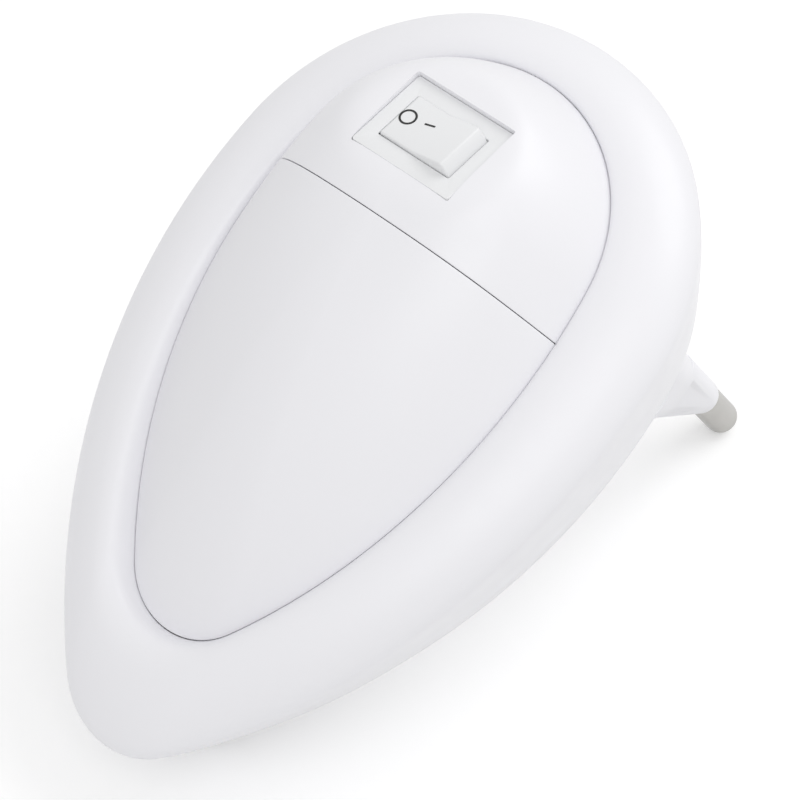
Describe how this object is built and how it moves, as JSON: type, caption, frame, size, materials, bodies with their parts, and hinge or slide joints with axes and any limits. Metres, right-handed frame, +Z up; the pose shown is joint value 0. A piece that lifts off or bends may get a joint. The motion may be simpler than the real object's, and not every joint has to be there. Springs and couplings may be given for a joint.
{
  "type": "plug-in night light",
  "caption": "Teardrop night light on a flat wall plug, with a rocker switch in an opaque cap above a milky domed lens.",
  "frame": {"origin": "middle of the plug's engagement face, midway between the two pins", "axes": "+Y along the pins into the wall, +Z up the face towards its round end, +X to the right as seen from the front; the lit face looks along -Y"},
  "size_m": [0.0584, 0.0809, 0.0902],
  "materials": {
    "white_shell": "satin white moulded plastic",
    "milky_lens": "milky diffusing plastic with a faint gloss",
    "white_insulation": "white moulded insulation",
    "white_switch": "white moulded plastic, smoother than the shell",
    "nickel_pins": "nickel-plated, drawn along the pin",
    "zinc_screws": "zinc-plated screws",
    "spring_steel": "drawn spring wire",
    "contact_brass": "plain brass",
    "contact_silver": "silver contact faces",
    "green_board": "green solder-mask laminate",
    "led_body": "clear-white epoxy",
    "tinned_leads": "tinned wire",
    "red_capacitor": "dipped red coating",
    "dark_capacitor": "dark sleeve and moulded case",
    "tan_resistor": "tan lacquer",
    "blue_resistor": "blue-grey lacquer",
    "brown_wire": "brown flexible insulation",
    "blue_wire": "blue flexible insulation",
    "solder": "set solder"
  },
  "bodies": {
    "base": {"front_frame": "white_shell", "upper_cap": "white_shell", "lens": "milky_lens", "rear_cover": "white_shell", "plug_insert": "white_insulation", "pin_left": "nickel_pins", "pin_right": "nickel_pins", "insert_screws": "zinc_screws", "cover_screws": "zinc_screws", "switch_housing": "white_switch", "fixed_contact": "contact_silver", "common_terminal": "contact_brass", "line_terminal": "contact_brass", "circuit_board": "green_board", "board_screws": "zinc_screws", "leds": "led_body", "led_leads": "tinned_leads", "film_capacitor": "red_capacitor", "smoothing_capacitor": "dark_capacitor", "bridge_rectifier": "dark_capacitor", "resistors": "tan_resistor", "fuse_resistor": "blue_resistor", "live_wire": "brown_wire", "switched_wire": "brown_wire", "neutral_wire": "blue_wire", "solder_joints": "solder"},
    "rocker": {"rocker": "white_switch", "rocker_spring": "spring_steel", "rocker_plunger": "contact_brass"},
    "lever": {"contact_lever": "contact_brass", "moving_contact": "contact_silver"}
  },
  "joints": [
    {"name": "rocker_press", "type": "hinge", "parent": "base", "child": "rocker", "pos_m": [0, -0.05782, 0.00036], "axis": [0, 0.3584, 0.9336], "range_deg": [0, 14]},
    {"name": "lever_tilt", "type": "hinge", "parent": "base", "child": "lever", "pos_m": [0, -0.051, -0.00226], "axis": [0, 0.3584, 0.9336], "range_deg": [-12, 0]}
  ],
  "couplings": [
    {"joint": "lever_tilt", "follows": "rocker_press", "ratio": -0.85714}
  ]
}
